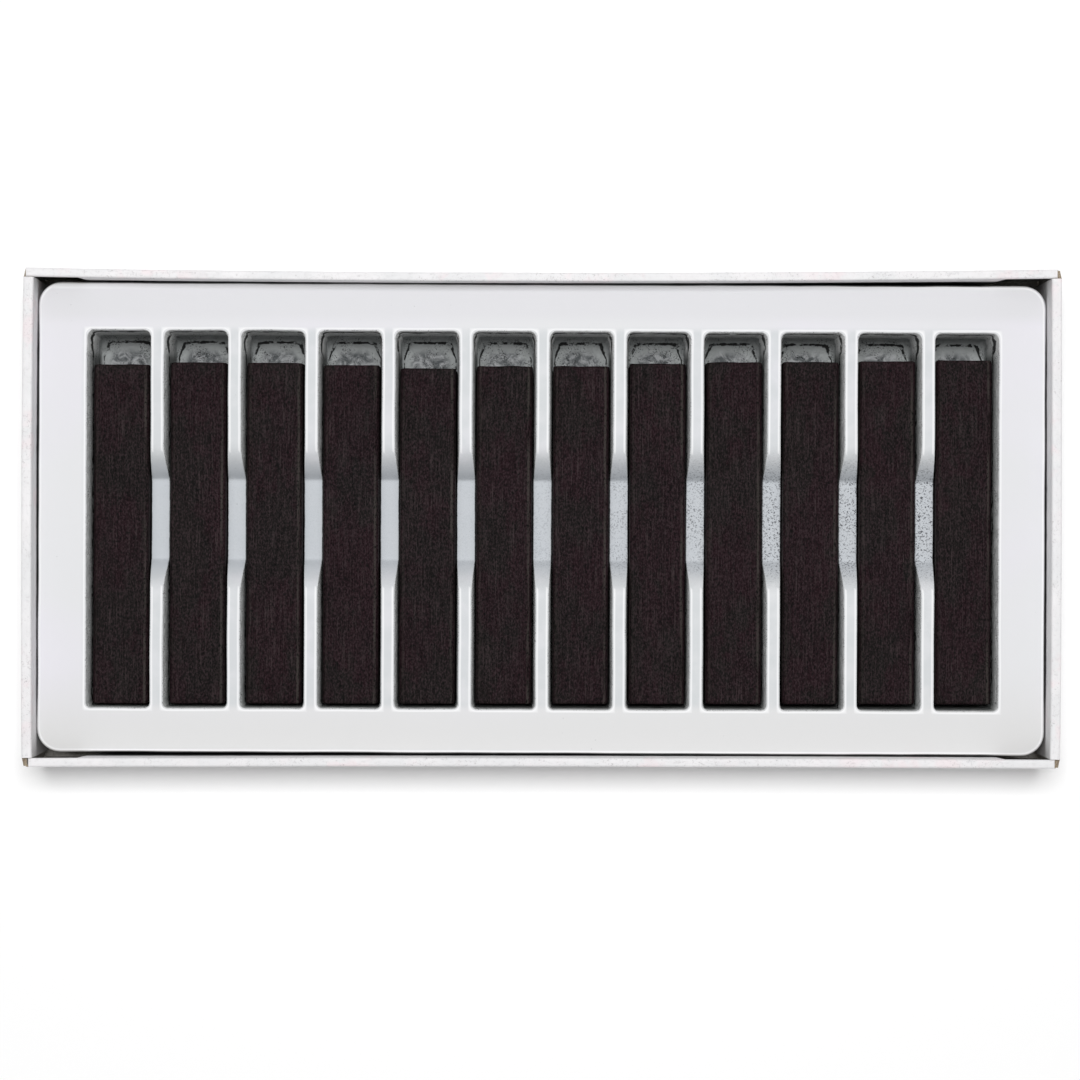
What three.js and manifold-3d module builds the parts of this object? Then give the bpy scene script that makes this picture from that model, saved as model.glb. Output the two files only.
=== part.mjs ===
// A boxed set of square charcoal sticks: a folded board carton base, a thermoformed tray that drops
// into it, and a stick in each pocket of the tray.
// Millimetres, +Z up, X along the carton, Y along the sticks; the origin is the middle of the underside.
import * as THREE from "three";
import { mergeVertices } from "three/addons/utils/BufferGeometryUtils.js";
import Module from "manifold-3d";

// Sticks, half an inch square and about three inches long, each broken off at its own length.
const STICK_SIDE = 12.7;
const STICK_LENGTHS = [76.2, 76.7, 76.6, 76.1, 75.4, 75.9, 75.9, 76.5, 76.8, 76.9, 77.1, 77.3];
const STICK_EDGE_RADIUS = 0.9;
const STICK_END_BEVEL = 0.45;
const STICK_END_GAP = 1.0; // from the pocket's rim to the near end of the first stick
const STICK_END_GAP_STEP = 0.055; // each next stick lies this much further from the rim

// Tray, one sheet of thin plastic.
const SHEET = 0.5;
const TRAY_LENGTH = 224.5;
const TRAY_WIDTH = 104.7;
const TRAY_HEIGHT = 17.1;
const TRAY_CORNER_RADIUS = 5.2;
const TRAY_EDGE_RADIUS = 0.5;
const TRAY_FLARE = 0.1; // the skirt stands out this much further at its foot
const TRAY_SKEW = THREE.MathUtils.degToRad(-0.15); // the loose tray lies slightly askew in the carton
const TRAY_SHIFT_Y = -0.1; // and this far towards the front wall

const POCKET_PITCH = 17.18;
const POCKET_WIDTH = 15.0;
const POCKET_LENGTH = 85.0;
const POCKET_CORNER_RADIUS = 1.5;
const POCKET_RIM = 0.4; // radius of the rounded rim
const SIDE_DRAFT = 0.65; // each side wall leans in this much from rim to floor
const SIDE_DRAFT_AT_CHANNEL = 0.55; // most of it above the level of the channel's floor
const END_DRAFT = 0.35; // each end wall leans in this much
const POCKETS_X = 0.2; // the pockets and the channel are off the tray's middle by this much
const POCKETS_Y = -0.35;

// Finger channel, a dip across the ribs from the first pocket to the last.
const CHANNEL_DEPTH = 6.5;
const CHANNEL_FLOOR = 18.0;
const CHANNEL_SLOPE_RUN = 5.8;

// Carton, one blank of coated board with double walls folded over at the top.
const BOARD = 0.5;
const CARTON_LENGTH = 229.5;
const CARTON_WIDTH = 110.2;
const CARTON_HEIGHT = 24.2;
const LONG_WALL = 2.0;
const END_WALL = 2.0; // at its foot
const END_WALL_LEAN = 0.3; // its inner panel leans in this much at the top
const FOLD_RADIUS = 0.45;
const LONG_WALL_INSET = 0.6; // the long walls' folded tops stop this short of the end walls' faces
const INNER_PANEL_STOP = 12.4; // the long walls' inner panels stop this short of the carton's corners
const INNER_PANEL_SLANT = 4.0; // and further by this much at their foot
const END_PANEL_DROP = 3.0; // the end walls' outer panels are cut this low at the carton's corners
const FLAP_LENGTH = 38.0;
const FLAP_DROP = 1.2; // the corner flaps stop this far under the folded tops

const CLEARANCE = 0.05; // between two panels that touch
const TRAY_BASE = BOARD + 0.1; // the tray's foot stands on the carton's floor
const OVERCUT = 1.0; // a cutting block runs this far past the face that it cuts
const LARGE_CURVE_SEGMENTS = 6; // in a quarter turn of the tray's corners
const SMALL_CURVE_SEGMENTS = 2; // in a quarter turn of every smaller radius
const ARC_MIDDLE = 1 - Math.SQRT1_2; // how far the middle of a quarter arc is from its corner's sides

const POCKET_COUNT = STICK_LENGTHS.length;
const POCKET_FLOOR = SHEET; // above the tray's foot
const INNER_WIDTH = CARTON_WIDTH - 2 * LONG_WALL;

const wasm = await Module();
wasm.setup();

const MATERIALS = {
  board: new THREE.MeshStandardMaterial({ color: 0xf2f0f0, roughness: 0.7, metalness: 0 }),
  tray: new THREE.MeshStandardMaterial({ color: 0xe8e9ec, roughness: 0.3, metalness: 0 }),
  charcoal: new THREE.MeshStandardMaterial({ color: 0x251e20, roughness: 0.8, metalness: 0 }),
};

// Joining and cutting

function toSolid(geometry) {
  const bare = geometry.clone();
  bare.deleteAttribute("normal");
  bare.deleteAttribute("uv");
  const merged = mergeVertices(bare, 1e-3);
  const mesh = new wasm.Mesh({
    numProp: 3,
    vertProperties: merged.getAttribute("position").array,
    triVerts: new Uint32Array(merged.index.array),
  });
  return new wasm.Manifold(mesh);
}

function toGeometry(solid) {
  const mesh = solid.getMesh();
  const geometry = new THREE.BufferGeometry();
  geometry.setAttribute("position", new THREE.BufferAttribute(mesh.vertProperties, 3));
  geometry.setIndex(new THREE.BufferAttribute(mesh.triVerts, 1));
  geometry.computeVertexNormals();
  return geometry;
}

function joined(geometries) {
  return geometries.map(toSolid).reduce((whole, solid) => whole.add(solid));
}

// Shapes

function polygon(points) {
  return new THREE.Shape(points.map(([x, y]) => new THREE.Vector2(x, y)));
}

function roundedRectangle(length, width, radius) {
  const x = length / 2 - radius;
  const y = width / 2 - radius;
  const shape = new THREE.Shape();
  shape.absarc(x, y, radius, 0, Math.PI / 2);
  shape.absarc(-x, y, radius, Math.PI / 2, Math.PI);
  shape.absarc(-x, -y, radius, Math.PI, 1.5 * Math.PI);
  shape.absarc(x, -y, radius, 1.5 * Math.PI, 2 * Math.PI);
  shape.closePath();
  return shape;
}

// A rounded rectangle swept up through levels, each with its own height z, its own inset of the two
// sides across X, and the inset of the two ends across Y where that differs.
function levelledBlock(length, width, radius, levels, curveSegments) {
  const last = levels.length - 1;
  const geometry = new THREE.ExtrudeGeometry(roundedRectangle(length, width, radius), {
    depth: last,
    steps: last,
    bevelEnabled: false,
    curveSegments,
  });
  const position = geometry.getAttribute("position");
  for (let i = 0; i < position.count; i += 1) {
    const { z, inset, endInset = inset } = levels[Math.round(position.getZ(i))];
    const x = position.getX(i);
    const y = position.getY(i);
    position.setXYZ(i, x - Math.sign(x) * inset, y - Math.sign(y) * endInset, z);
  }
  return geometry;
}

// A profile drawn in the YZ plane and swept along X, centred on x = 0.
function alongX(profile, length) {
  const geometry = new THREE.ExtrudeGeometry(profile, {
    depth: length,
    bevelEnabled: false,
    curveSegments: SMALL_CURVE_SEGMENTS,
  });
  geometry.translate(0, 0, -length / 2);
  const turn = new THREE.Matrix4().makeBasis(
    new THREE.Vector3(0, 1, 0),
    new THREE.Vector3(0, 0, 1),
    new THREE.Vector3(1, 0, 0),
  );
  return geometry.applyMatrix4(turn);
}

// A plate that stands upright: its outline in X and Z, with X times side, and its reach in Y.
function uprightPlate(outline, side, lowY, highY) {
  const profile = polygon(outline.map(([x, z]) => [side * x, z]));
  const plate = new THREE.ExtrudeGeometry(profile, { depth: highY - lowY, bevelEnabled: false });
  return plate.rotateX(Math.PI / 2).translate(0, highY, 0);
}

function box(low, high) {
  const size = high.map((value, i) => value - low[i]);
  const geometry = new THREE.BoxGeometry(...size);
  return geometry.translate(...low.map((value, i) => value + size[i] / 2));
}

// Tray

function trayBlock(thinner) {
  const levels = [
    { z: thinner > 0 ? -OVERCUT : 0, inset: -TRAY_FLARE },
    { z: TRAY_HEIGHT - thinner - TRAY_EDGE_RADIUS, inset: 0 },
  ];
  for (let i = 1; i <= SMALL_CURVE_SEGMENTS; i += 1) {
    const angle = (i / SMALL_CURVE_SEGMENTS) * (Math.PI / 2);
    levels.push({
      z: TRAY_HEIGHT - thinner - TRAY_EDGE_RADIUS * (1 - Math.sin(angle)),
      inset: TRAY_EDGE_RADIUS * (1 - Math.cos(angle)),
    });
  }
  const length = TRAY_LENGTH - 2 * thinner;
  const width = TRAY_WIDTH - 2 * thinner;
  const radius = TRAY_CORNER_RADIUS - thinner;
  return toSolid(levelledBlock(length, width, radius, levels, LARGE_CURVE_SEGMENTS));
}

function pocketX(index) {
  return (index - (POCKET_COUNT - 1) / 2) * POCKET_PITCH;
}

// The space of all pockets, or that space with the sheet around it.
function pocketBlocks(sheet) {
  const straightTop = TRAY_HEIGHT - sheet - POCKET_RIM;
  const straightHeight = straightTop - (POCKET_FLOOR - sheet);
  const channelShare = (CHANNEL_DEPTH - POCKET_RIM) / straightHeight;
  const levels = [
    { z: POCKET_FLOOR - sheet, inset: SIDE_DRAFT, endInset: END_DRAFT },
    {
      z: straightTop - channelShare * straightHeight,
      inset: SIDE_DRAFT_AT_CHANNEL,
      endInset: END_DRAFT * channelShare,
    },
    { z: straightTop, inset: 0 },
    { z: TRAY_HEIGHT - sheet - POCKET_RIM * ARC_MIDDLE, inset: -POCKET_RIM * ARC_MIDDLE },
    { z: TRAY_HEIGHT - sheet, inset: -POCKET_RIM },
    { z: TRAY_HEIGHT + OVERCUT, inset: -POCKET_RIM },
  ];
  const width = POCKET_WIDTH - 2 * POCKET_RIM + 2 * sheet;
  const length = POCKET_LENGTH - 2 * POCKET_RIM + 2 * sheet;
  const radius = POCKET_CORNER_RADIUS - POCKET_RIM + sheet;
  const blocks = [];
  for (let i = 0; i < POCKET_COUNT; i += 1) {
    const block = levelledBlock(width, length, radius, levels, SMALL_CURVE_SEGMENTS);
    blocks.push(block.translate(pocketX(i), 0, 0));
  }
  return joined(blocks);
}

function channelBlock(sheet) {
  const slope = Math.atan2(CHANNEL_DEPTH, CHANNEL_SLOPE_RUN);
  const floor = CHANNEL_FLOOR / 2 + sheet * Math.tan(slope / 2);
  const low = TRAY_HEIGHT - CHANNEL_DEPTH - sheet;
  const high = TRAY_HEIGHT + OVERCUT;
  const mouth = floor + (high - low) / Math.tan(slope);
  const profile = polygon([
    [-floor, low],
    [floor, low],
    [mouth, high],
    [-mouth, high],
  ]);
  return toSolid(alongX(profile, pocketX(POCKET_COUNT - 1) - pocketX(0)));
}

function hollows(sheet) {
  return pocketBlocks(sheet).add(channelBlock(sheet)).translate(POCKETS_X, POCKETS_Y, 0);
}

function trayGeometry() {
  const formed = trayBlock(0).subtract(hollows(0));
  const inside = trayBlock(SHEET).subtract(hollows(SHEET));
  return toGeometry(formed.subtract(inside));
}

// Stick

function stickGeometry(length) {
  const inner = STICK_SIDE - 2 * STICK_END_BEVEL;
  const profile = roundedRectangle(inner, inner, STICK_EDGE_RADIUS - STICK_END_BEVEL);
  const geometry = new THREE.ExtrudeGeometry(profile, {
    depth: length - 2 * STICK_END_BEVEL,
    bevelSize: STICK_END_BEVEL,
    bevelThickness: STICK_END_BEVEL,
    bevelSegments: 1,
    curveSegments: SMALL_CURVE_SEGMENTS,
  });
  geometry.rotateX(Math.PI / 2);
  return geometry.translate(0, length - STICK_END_BEVEL, 0);
}

// Carton

// The section of a double wall: up the outer face, over the top and down the inner face.
// The foot of its inner face is at y = 0 and its outer face at y = thickness.
function doubleWallProfile(thickness, lean) {
  const top = CARTON_HEIGHT;
  const foot = BOARD + CLEARANCE;
  const shape = new THREE.Shape();
  shape.moveTo(thickness, 0);
  shape.lineTo(thickness, top - FOLD_RADIUS);
  shape.absarc(thickness - FOLD_RADIUS, top - FOLD_RADIUS, FOLD_RADIUS, 0, Math.PI / 2);
  shape.absarc(FOLD_RADIUS - lean, top - FOLD_RADIUS, FOLD_RADIUS, Math.PI / 2, Math.PI);
  shape.lineTo(0, foot);
  shape.lineTo(BOARD, foot);
  shape.lineTo(BOARD - lean, top - BOARD);
  shape.lineTo(thickness - BOARD, top - BOARD);
  shape.lineTo(thickness - BOARD, 0);
  shape.closePath();
  return shape;
}

// The back wall, at +Y. Its ends are notched for the corner flaps, and its inner panel stops short.
function longWallGeometry() {
  const endX = CARTON_LENGTH / 2;
  const flapX = endX - 2 * BOARD - 2 * CLEARANCE;
  const flapTop = CARTON_HEIGHT - FLAP_DROP + CLEARANCE;
  const panelX = endX - INNER_PANEL_STOP;
  const panelTop = CARTON_HEIGHT - BOARD - CLEARANCE;
  let wall = toSolid(alongX(doubleWallProfile(LONG_WALL, 0), 2 * (endX - LONG_WALL_INSET)));
  for (const side of [-1, 1]) {
    const notch = uprightPlate(
      [[flapX, -OVERCUT], [endX, -OVERCUT], [endX, flapTop], [flapX, flapTop]],
      side,
      -OVERCUT,
      LONG_WALL + OVERCUT,
    );
    const panelEnd = uprightPlate(
      [[panelX - INNER_PANEL_SLANT, -OVERCUT], [endX, -OVERCUT], [endX, panelTop], [panelX, panelTop]],
      side,
      -OVERCUT,
      BOARD + CLEARANCE,
    );
    wall = wall.subtract(toSolid(notch)).subtract(toSolid(panelEnd));
  }
  return toGeometry(wall);
}

// The right wall, at +X: a double wall between the long walls, and an outer panel of the full width.
function endWallGeometry() {
  const folded = alongX(doubleWallProfile(END_WALL, END_WALL_LEAN), INNER_WIDTH - 2 * CLEARANCE);
  const half = CARTON_WIDTH / 2;
  const foldHalf = INNER_WIDTH / 2 - CLEARANCE;
  const foldTop = CARTON_HEIGHT - 2 * FOLD_RADIUS;
  const cornerTop = CARTON_HEIGHT - END_PANEL_DROP;
  const outline = [
    [-half, 0],
    [half, 0],
    [half, cornerTop],
    [foldHalf, foldTop],
    [-foldHalf, foldTop],
    [-half, cornerTop],
  ];
  const panel = uprightPlate(outline, 1, END_WALL - BOARD, END_WALL);
  return toGeometry(joined([folded, panel])).rotateZ(-Math.PI / 2);
}

function floorGeometry() {
  const x = CARTON_LENGTH / 2 - BOARD - CLEARANCE;
  const y = CARTON_WIDTH / 2 - BOARD - CLEARANCE;
  return box([-x, -y, 0], [x, y, BOARD]);
}

// A corner flap, folded in from a long wall and standing inside the hollow of the end wall.
function flapGeometry(sideX, sideY) {
  const outerX = CARTON_LENGTH / 2 - BOARD - CLEARANCE;
  const outerY = CARTON_WIDTH / 2 - CLEARANCE;
  const flap = box(
    [outerX - BOARD, outerY - FLAP_LENGTH, BOARD + CLEARANCE],
    [outerX, outerY, CARTON_HEIGHT - FLAP_DROP],
  );
  const shiftX = sideX > 0 ? 0 : -(2 * outerX - BOARD);
  const shiftY = sideY > 0 ? 0 : -(2 * outerY - FLAP_LENGTH);
  return flap.translate(shiftX, shiftY, 0);
}

// Assembly

const set = new THREE.Group();

function place(parent, name, geometry, material) {
  const mesh = new THREE.Mesh(geometry, material.clone());
  mesh.name = name;
  parent.add(mesh);
  return mesh;
}

const carton = new THREE.Group();
set.add(carton);
place(carton, "carton_floor", floorGeometry(), MATERIALS.board);

const backWall = place(carton, "carton_back_wall", longWallGeometry(), MATERIALS.board);
backWall.position.y = INNER_WIDTH / 2;
const frontWall = place(carton, "carton_front_wall", longWallGeometry(), MATERIALS.board);
frontWall.position.y = -INNER_WIDTH / 2;
frontWall.rotation.z = Math.PI;

const endWallX = CARTON_LENGTH / 2 - END_WALL;
const rightWall = place(carton, "carton_right_wall", endWallGeometry(), MATERIALS.board);
rightWall.position.x = endWallX;
const leftWall = place(carton, "carton_left_wall", endWallGeometry(), MATERIALS.board);
leftWall.position.x = -endWallX;
leftWall.rotation.z = Math.PI;

for (const [sideY, longSide] of [[-1, "front"], [1, "back"]]) {
  for (const [sideX, endSide] of [[-1, "left"], [1, "right"]]) {
    const name = `carton_${longSide}_${endSide}_flap`;
    place(carton, name, flapGeometry(sideX, sideY), MATERIALS.board);
  }
}

const trayGroup = new THREE.Group();
trayGroup.position.set(0, TRAY_SHIFT_Y, TRAY_BASE);
trayGroup.rotation.z = TRAY_SKEW;
set.add(trayGroup);
place(trayGroup, "tray", trayGeometry(), MATERIALS.tray);

STICK_LENGTHS.forEach((length, index) => {
  const name = `stick_${String(index + 1).padStart(2, "0")}`;
  const stick = place(trayGroup, name, stickGeometry(length), MATERIALS.charcoal);
  const gap = STICK_END_GAP + index * STICK_END_GAP_STEP;
  const middleZ = POCKET_FLOOR + CLEARANCE + STICK_SIDE / 2;
  stick.position.set(pocketX(index) + POCKETS_X, gap - POCKET_LENGTH / 2 + POCKETS_Y, middleZ);
});

export default set;
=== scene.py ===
import math
import random

import bpy
import numpy as np
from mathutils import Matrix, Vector


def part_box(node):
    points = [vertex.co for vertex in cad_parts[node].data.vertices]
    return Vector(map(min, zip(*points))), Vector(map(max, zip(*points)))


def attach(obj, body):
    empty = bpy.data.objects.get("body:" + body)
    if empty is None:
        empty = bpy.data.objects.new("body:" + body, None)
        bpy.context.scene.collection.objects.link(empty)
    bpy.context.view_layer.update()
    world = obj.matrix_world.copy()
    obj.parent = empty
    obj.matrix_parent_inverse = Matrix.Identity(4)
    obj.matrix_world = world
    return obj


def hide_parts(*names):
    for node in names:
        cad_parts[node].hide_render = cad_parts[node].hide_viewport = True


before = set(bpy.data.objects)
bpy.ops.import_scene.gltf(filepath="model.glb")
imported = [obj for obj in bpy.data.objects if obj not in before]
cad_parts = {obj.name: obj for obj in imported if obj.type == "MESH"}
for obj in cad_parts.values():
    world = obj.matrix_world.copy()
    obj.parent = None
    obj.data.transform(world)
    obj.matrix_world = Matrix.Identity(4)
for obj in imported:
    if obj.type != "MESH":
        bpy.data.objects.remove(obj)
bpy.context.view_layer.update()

METRE = 0.001

# Carton, a blank of board folded up from its floor and over at the top. Layers that lie together are
# BOARD_GAP apart, and the end walls' inner panels lean in by END_WALL_LEAN.
BOARD = 0.5
BOARD_GAP = 0.05
HALF_LENGTH = 114.75
HALF_WIDTH = 55.1
CARTON_HEIGHT = 24.2
LONG_WALL = 2.0
END_WALL = 2.0
END_WALL_LEAN = 0.3
# Radii of the folds at a wall's foot and top, and the height of the inner panels' lower edge
FOOT_FOLD = 0.6
TOP_FOLD = 0.5
PANEL_FOOT = 0.55
# Corner flaps, which go on from the long walls' outer panels round a fold that starts at CORNER_FOLD_X
CORNER_FOLD_X = HALF_LENGTH - BOARD - BOARD_GAP - FOOT_FOLD
FLAP_TOP = 23.0
FLAP_LENGTH = 38.0
# How far the long walls' folded tops stop short of the corners, and how much further at the very top
BACK_LEFT_STOP = 0.3
BACK_RIGHT_STOP = 0.8
FRONT_LEFT_STOP = 1.3
FRONT_RIGHT_STOP = 1.0
FOLD_SHEAR = 0.3
# Where the long walls' inner panels end at the top, and how much shorter they are at the foot
INNER_PANEL_END = HALF_LENGTH - 12.4
INNER_PANEL_SLANT = 4.0
# The end walls' outer panels are full width up to END_PANEL_TOP. Their sheets start where the floor ends.
END_PANEL_TOP = 21.2
FLOOR_END = HALF_LENGTH - 3.0
# How far the long walls' tops bow inwards at their middle, how far the end walls' tops lean inwards at
# each corner, and how much all of them wave and sag
BACK_BOW = 0.92
FRONT_BOW = 0.32
BACK_LEFT_LEAN = 0.43
BACK_RIGHT_LEAN = 0.05
FRONT_LEFT_LEAN = 0.12
FRONT_RIGHT_LEAN = 0.3
WALL_WAVE = 0.05
TOP_SAG = 0.06

# Tray, formed from one sheet. It lies askew in the carton, shifted towards the front wall, and its skirt
# flares out to its foot.
SKEW = math.radians(-0.15)
TRAY_SHIFT_Y = -0.1
TRAY_BASE = 0.6
TRAY_LENGTH = 224.5
TRAY_WIDTH = 104.7
TRAY_HEIGHT = 17.1
TRAY_SHEET = 0.36
TRAY_CORNER = 5.2
TRAY_EDGE = 0.5
TRAY_FLARE = 0.1
TRAY_WAVE = 0.05
TRAY_TOP_WAVE = 0.045
# Pockets. No stick reaches beyond FREE_END, and the fillet at the foot is larger there. Further down, a
# corner's radius in plan grows at the free end and shrinks at the other, by these shares of the inset.
POCKETS_X = 0.2
POCKETS_Y = -0.35
POCKET_PITCH = 17.18
POCKET_WIDTH = 15.0
POCKET_LENGTH = 85.0
POCKET_CORNER = 1.5
CORNER_GROWTH = 0.25
CORNER_SHRINKING = 0.8
POCKET_FLOOR = 0.5
POCKET_RIM = 0.4
POCKET_FILLET = 0.9
FREE_END_FILLET = 1.9
FREE_END = 36.6
# How far the pockets' sides have leant in by the channel's level and by the floor, and how far their ends
SIDE_DRAFT_AT_CHANNEL = 0.55
SIDE_DRAFT = 0.65
END_DRAFT = 0.35
# Width over which the painted highlight along the edge of the pockets and of the tray's top fades out
RIM_BAND = 0.38
# Finger channel across the ribs, where the pockets' rims are sharper
CHANNEL_RIM = 0.25
CHANNEL_DEPTH = 6.5
CHANNEL_FLOOR = 18.0
CHANNEL_RUN = 5.8

# Sticks. STICK_END has distances from a stick's end, each with how far its sides are worn away there.
# CAP_RINGS has the sizes of the rings of points on its end, as shares of the section.
STICK_COUNT = 12
STICK_SIDE = 12.7
STICK_END = [(0.0, 0.52), (0.05, 0.3), (0.17, 0.13), (0.4, 0.04), (0.9, 0.0)]
CAP_RINGS = [0.8, 0.55, 0.3, 0.08]
BODY_RINGS = 42
END_ROUGHNESS = 0.07

# Studio; the camera looks straight down
FLOOR_REACH = 3000.0
CAMERA_X = -0.33
CAMERA_Y = -4.8
CAMERA_HEIGHT = 617.7
CAMERA_TURN = math.radians(0.1)
CAMERA_LENS = 89.8


# Smooth random functions

def ripple(seed, wavelength):
    """A smooth random function of two coordinates, from -1 to 1."""
    dice = random.Random(seed)
    waves = []
    for _ in range(8):
        angle = dice.uniform(0, math.pi)
        pitch = 2 * math.pi / (wavelength * dice.uniform(0.6, 1.7))
        phase = dice.uniform(0, 2 * math.pi)
        waves.append((pitch * math.cos(angle), pitch * math.sin(angle), phase))

    def value(u, v):
        total = sum(np.sin(a * u + b * v + phase) for a, b, phase in waves)
        return np.clip(total / 4, -1, 1)

    return value


def smooth(share):
    """0 to 1 with a gentle start and end."""
    share = np.clip(share, 0, 1)
    return share * share * (3 - 2 * share)


def soft_max(a, b, width):
    """The larger of two values, rounded off where they are less than width apart."""
    overlap = np.maximum(width - np.abs(a - b), 0) / width
    return np.maximum(a, b) + overlap * overlap * width / 4


# Meshes

def downward_normals(points):
    """Unit normals at the points of a grid whose rows follow one another north and its columns east."""
    a, b = points[:-1, :-1], points[1:, :-1]
    c, d = points[1:, 1:], points[:-1, 1:]
    across = np.cross(c - a, d - b)
    normals = np.zeros_like(points)
    normals[:-1, :-1] += across
    normals[1:, :-1] += across
    normals[1:, 1:] += across
    normals[:-1, 1:] += across
    return normals / np.linalg.norm(normals, axis=-1, keepdims=True)


def facing_out(points, quads):
    """The quads, turned so that the closed mesh they make has a positive volume."""
    a, b, c, d = (points[quads[:, i]] for i in range(4))
    volume = np.einsum("ij,ij->", a, np.cross(b, c)) + np.einsum("ij,ij->", a, np.cross(c, d))
    return quads if volume > 0 else quads[:, ::-1]


def new_piece(name, points, faces, looks, materials, marks=None, sharp=35):
    """A mesh object: looks gives each face's place in materials, and marks named values at the points."""
    mesh = bpy.data.meshes.new(name)
    mesh.from_pydata((points * METRE).tolist(), [], [list(face) for face in faces])
    for material in materials:
        mesh.materials.append(material)
    mesh.polygons.foreach_set("material_index", np.asarray(looks, np.int32))
    for mark, values in (marks or {}).items():
        attribute = mesh.attributes.new(mark, "FLOAT", "POINT")
        attribute.data.foreach_set("value", np.asarray(values, np.float32))
    mesh.shade_smooth()
    mesh.set_sharp_from_angle(angle=math.radians(sharp))
    mesh.update()
    piece = bpy.data.objects.new(name, mesh)
    bpy.context.scene.collection.objects.link(piece)
    return piece


def sheet(name, outer, inner, present, materials, marks=None):
    """A thin closed sheet between two grids of points, with only the grid's present cells.
    Its three materials are for the outer face, the inner face and the cut edges."""
    rows, columns = present.shape
    index = np.arange(outer.shape[0] * outer.shape[1]).reshape(outer.shape[:2])
    beneath = index.size
    a, b = index[:-1, :-1], index[1:, :-1]
    c, d = index[1:, 1:], index[:-1, 1:]
    outside = np.stack([a, b, c, d], -1)[present]
    inside = outside[:, ::-1] + beneath
    edges = []
    around = np.pad(present, 1)
    for row, column, p, q in ((0, 1, a, d), (1, 2, d, c), (2, 1, c, b), (1, 0, b, a)):
        bare = present & ~around[row:row + rows, column:column + columns]
        p, q = p[bare], q[bare]
        edges.append(np.stack([p, q, q + beneath, p + beneath], -1))
    edges = np.concatenate(edges)
    quads = np.concatenate([outside, inside, edges])
    looks = np.repeat([0, 1, 2], [len(outside), len(inside), len(edges)])
    points = np.concatenate([outer.reshape(-1, 3), inner.reshape(-1, 3)])
    used, quads = np.unique(quads, return_inverse=True)
    points = points[used]
    quads = facing_out(points, quads.reshape(-1, 4))
    kept = {mark: values.ravel()[used] for mark, values in (marks or {}).items()}
    return new_piece(name, points, quads, looks, materials, kept)


# Node materials

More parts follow.
